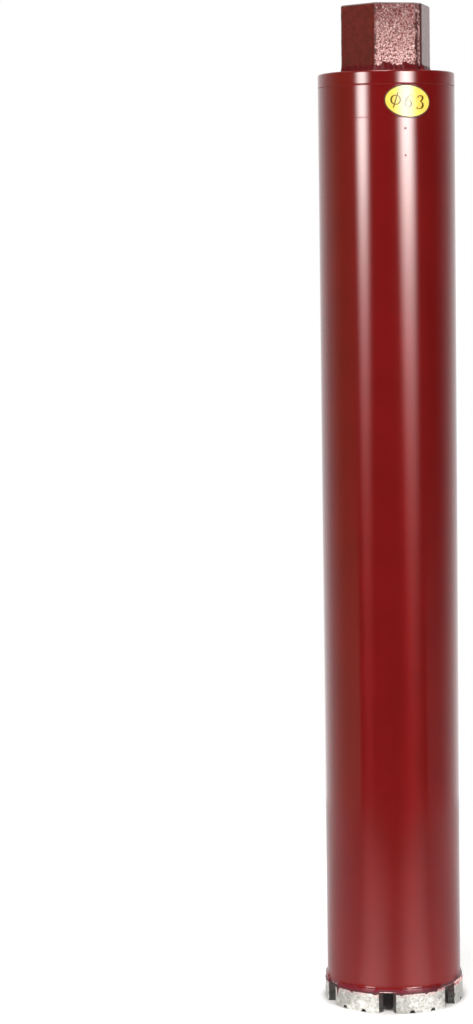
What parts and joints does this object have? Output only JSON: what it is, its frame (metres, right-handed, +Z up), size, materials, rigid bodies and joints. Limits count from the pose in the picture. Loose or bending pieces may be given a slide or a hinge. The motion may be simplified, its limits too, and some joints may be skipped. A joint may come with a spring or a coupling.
{
  "type": "diamond core bit",
  "caption": "Wet diamond core bit: a long painted steel barrel with brazed segments at its open end and a hexagonal screw connector welded to its end cap.",
  "frame": {"origin": "centre of the crown's cutting plane, on which the bit stands", "axes": "+Z up along the drilling axis, from the crown to the connector; -Y is the normal of the hexagon flat above the size label; +X follows from a right-handed frame"},
  "size_m": [0.063, 0.063, 0.45],
  "materials": {
    "red_paint": "gloss dark red enamel",
    "label": "printed vinyl sticker",
    "diamond_matrix": "sintered metal powder, sandblasted",
    "painted_braze": "gloss dark red enamel over silver braze"
  },
  "bodies": {
    "root": {"core_barrel": "red_paint", "end_cap": "red_paint", "hex_connector": "red_paint", "connector_weld": "red_paint", "cap_seam_weld": "red_paint", "size_label": "label", "segment_1": "diamond_matrix", "segment_2": "diamond_matrix", "segment_3": "diamond_matrix", "segment_4": "diamond_matrix", "segment_5": "diamond_matrix", "segment_6": "diamond_matrix", "braze_joint_1": "painted_braze", "braze_joint_2": "painted_braze", "braze_joint_3": "painted_braze", "braze_joint_4": "painted_braze", "braze_joint_5": "painted_braze", "braze_joint_6": "painted_braze"}
  },
  "joints": []
}
